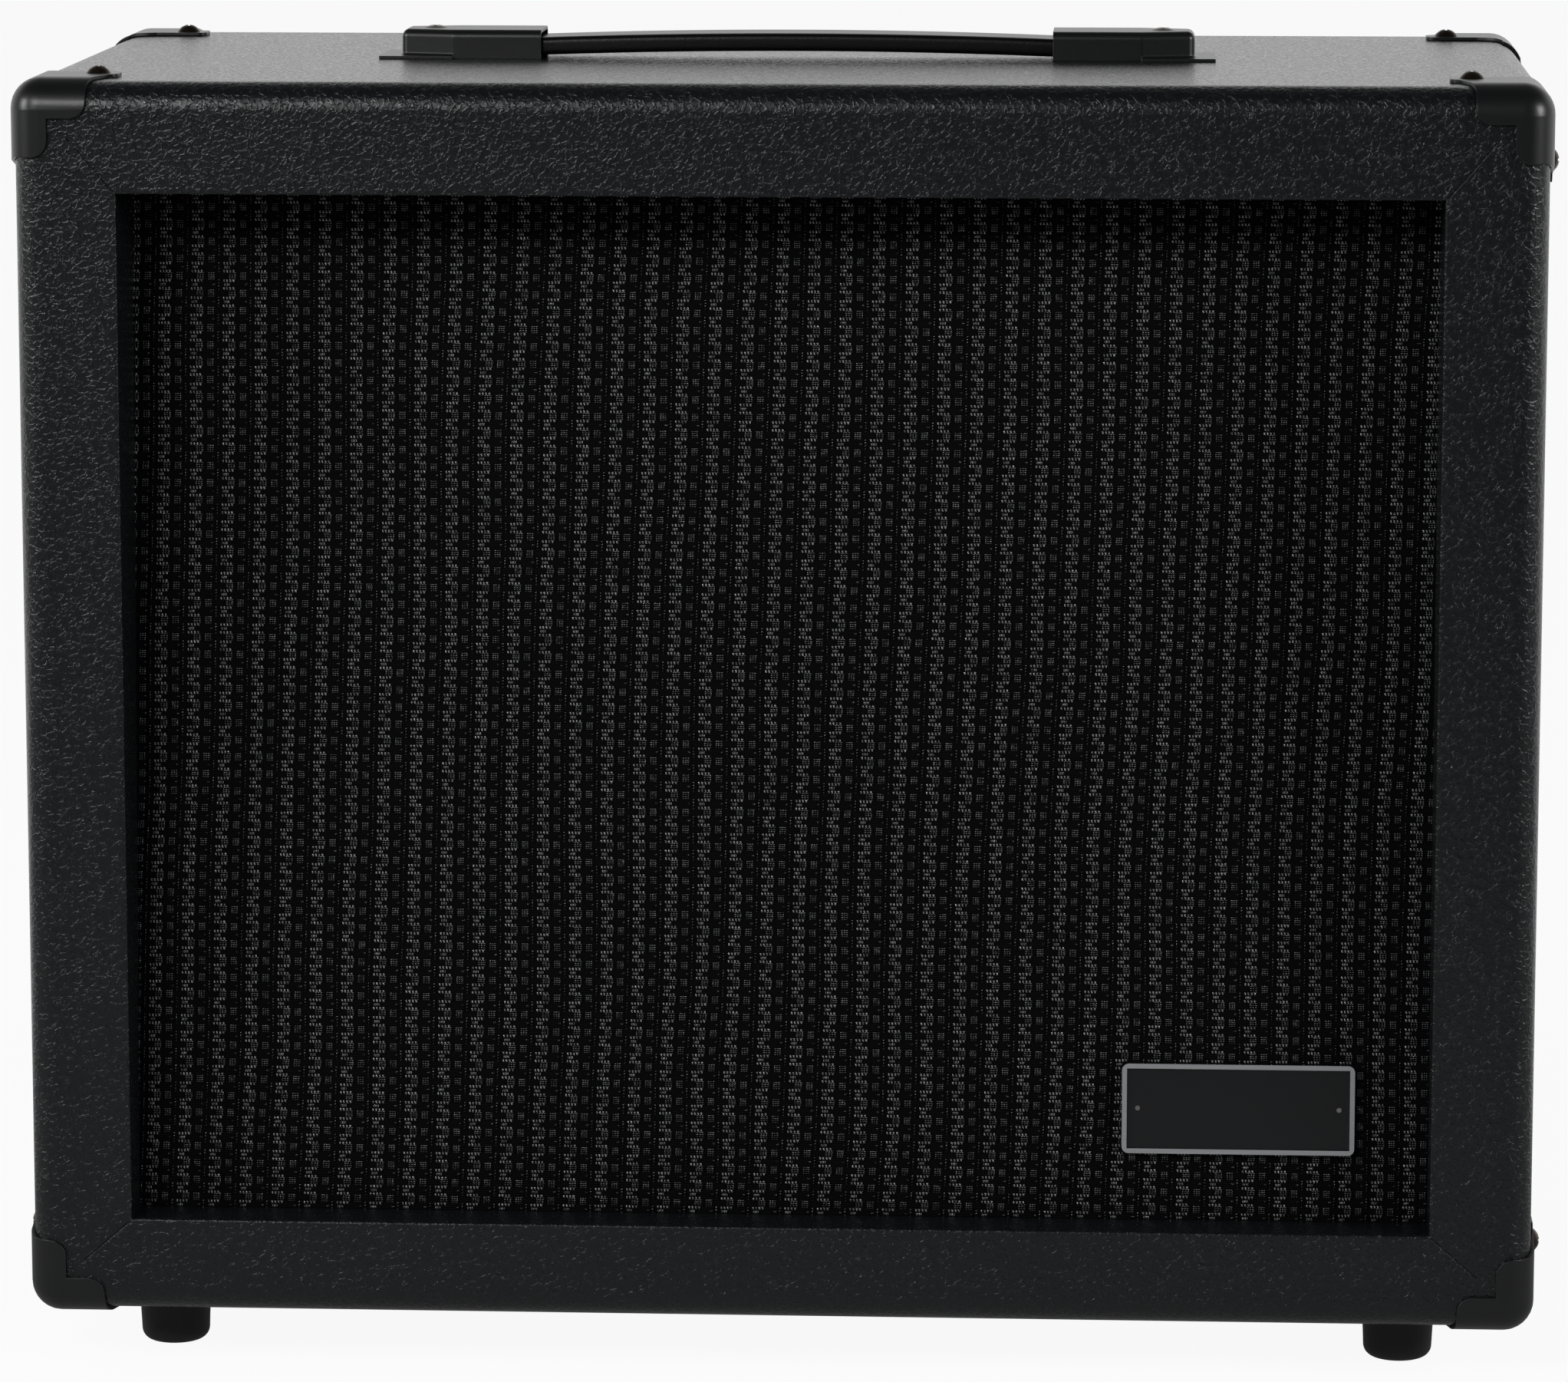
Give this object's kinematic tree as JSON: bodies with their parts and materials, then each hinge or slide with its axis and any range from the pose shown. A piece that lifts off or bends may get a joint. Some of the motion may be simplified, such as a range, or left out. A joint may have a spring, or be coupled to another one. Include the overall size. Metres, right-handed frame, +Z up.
{
  "type": "guitar speaker cabinet",
  "caption": "Black vinyl-covered guitar speaker cabinet with a leaning cloth grille, metal corners, a strap handle on top, rubber feet and a plug jack in the closed back.",
  "frame": {"origin": "on the floor under the middle of the cabinet", "axes": "+X to the right seen from the front, +Y from front to back, +Z up"},
  "size_m": [0.5378, 0.2778, 0.4674],
  "materials": {
    "plywood": "bare birch plywood",
    "black_vinyl": "levant grain, half gloss",
    "grille_fabric": "coarse basket weave with a slight glint",
    "plate_metal": "bright rim, black field",
    "black_metal": "satin black",
    "black_screw": "black oxide",
    "zinc_steel": "zinc plated",
    "strap_vinyl": "smooth black, soft gloss",
    "foot_rubber": "matt black",
    "port_plastic": "matt black",
    "basket_paint": "black paint",
    "cone_paper": "felted paper",
    "doped_cloth": "doped cloth",
    "ferrite": "bare ferrite",
    "motor_steel": "plated steel",
    "coil_copper": "enamelled copper wire",
    "coil_former": "foil",
    "fibre_board": "pressed fibre",
    "terminal_brass": "bare",
    "lead_insulation": "soft PVC",
    "jack_nickel": "nickel plated"
  },
  "bodies": {
    "cabinet": {"back_cleats": "plywood", "back_panel": "black_vinyl", "back_panel_screws": "black_screw", "badge_pins": "zinc_steel", "badge_plate": "plate_metal", "badge_push_nuts": "zinc_steel", "baffle_board": "plywood", "baffle_screws": "zinc_steel", "bottom_board": "plywood", "corner_protectors_front": "black_metal", "corner_protectors_rear": "black_metal", "corner_screws": "black_screw", "foot_screws": "zinc_steel", "foot_washers": "zinc_steel", "front_rail_bottom": "plywood", "front_rail_left": "plywood", "front_rail_right": "plywood", "front_rail_top": "plywood", "grille_cloth": "grille_fabric", "grille_frame": "plywood", "handle_bolts": "black_screw", "handle_cap_left": "black_metal", "handle_cap_right": "black_metal", "handle_tee_nuts": "zinc_steel", "jack_frame": "jack_nickel", "jack_insulator": "fibre_board", "jack_lugs": "terminal_brass", "jack_nut": "jack_nickel", "jack_plate": "black_metal", "jack_plate_screws": "black_screw", "lead_clip": "port_plastic", "lead_clip_screw": "zinc_steel", "left_board": "plywood", "magnet_ring": "ferrite", "magnet_top_plate": "motor_steel", "magnet_yoke": "motor_steel", "port_tube_left": "port_plastic", "port_tube_right": "port_plastic", "right_board": "plywood", "rubber_feet": "foot_rubber", "speaker_basket": "basket_paint", "speaker_bolts": "zinc_steel", "speaker_gasket": "cone_paper", "speaker_leads": "lead_insulation", "speaker_spider": "doped_cloth", "speaker_surround": "doped_cloth", "speaker_tee_nuts": "zinc_steel", "strap_end_left": "strap_vinyl", "strap_end_right": "strap_vinyl", "terminal_board": "fibre_board", "terminal_tags": "terminal_brass", "top_board": "plywood", "vinyl_covering": "black_vinyl"},
    "cone": {"speaker_cone": "cone_paper", "speaker_dust_cap": "cone_paper", "voice_coil_former": "coil_former", "voice_coil": "coil_copper"},
    "grip": {"strap_grip": "strap_vinyl"},
    "tip_spring": {"jack_tip_spring": "terminal_brass"}
  },
  "joints": [
    {"name": "cone_travel", "type": "slide", "parent": "cabinet", "child": "cone", "axis": [0, -0.9984, 0.0563], "range_m": [-0.004, 0.004], "stiffness_N_per_m": 3000, "deforming": ["speaker_surround", "speaker_spider"]},
    {"name": "handle_lift", "type": "slide", "parent": "cabinet", "child": "grip", "axis": [0, 0, 1], "range_m": [0, 0.018], "deforming": ["strap_end_left", "strap_end_right"]},
    {"name": "jack_tip_flex", "type": "hinge", "parent": "cabinet", "child": "tip_spring", "pos_m": [0, 0.1157, 0.1157], "axis": [1, 0, 0], "range_deg": [0, 4], "stiffness_Nm_per_rad": 0.1}
  ]
}
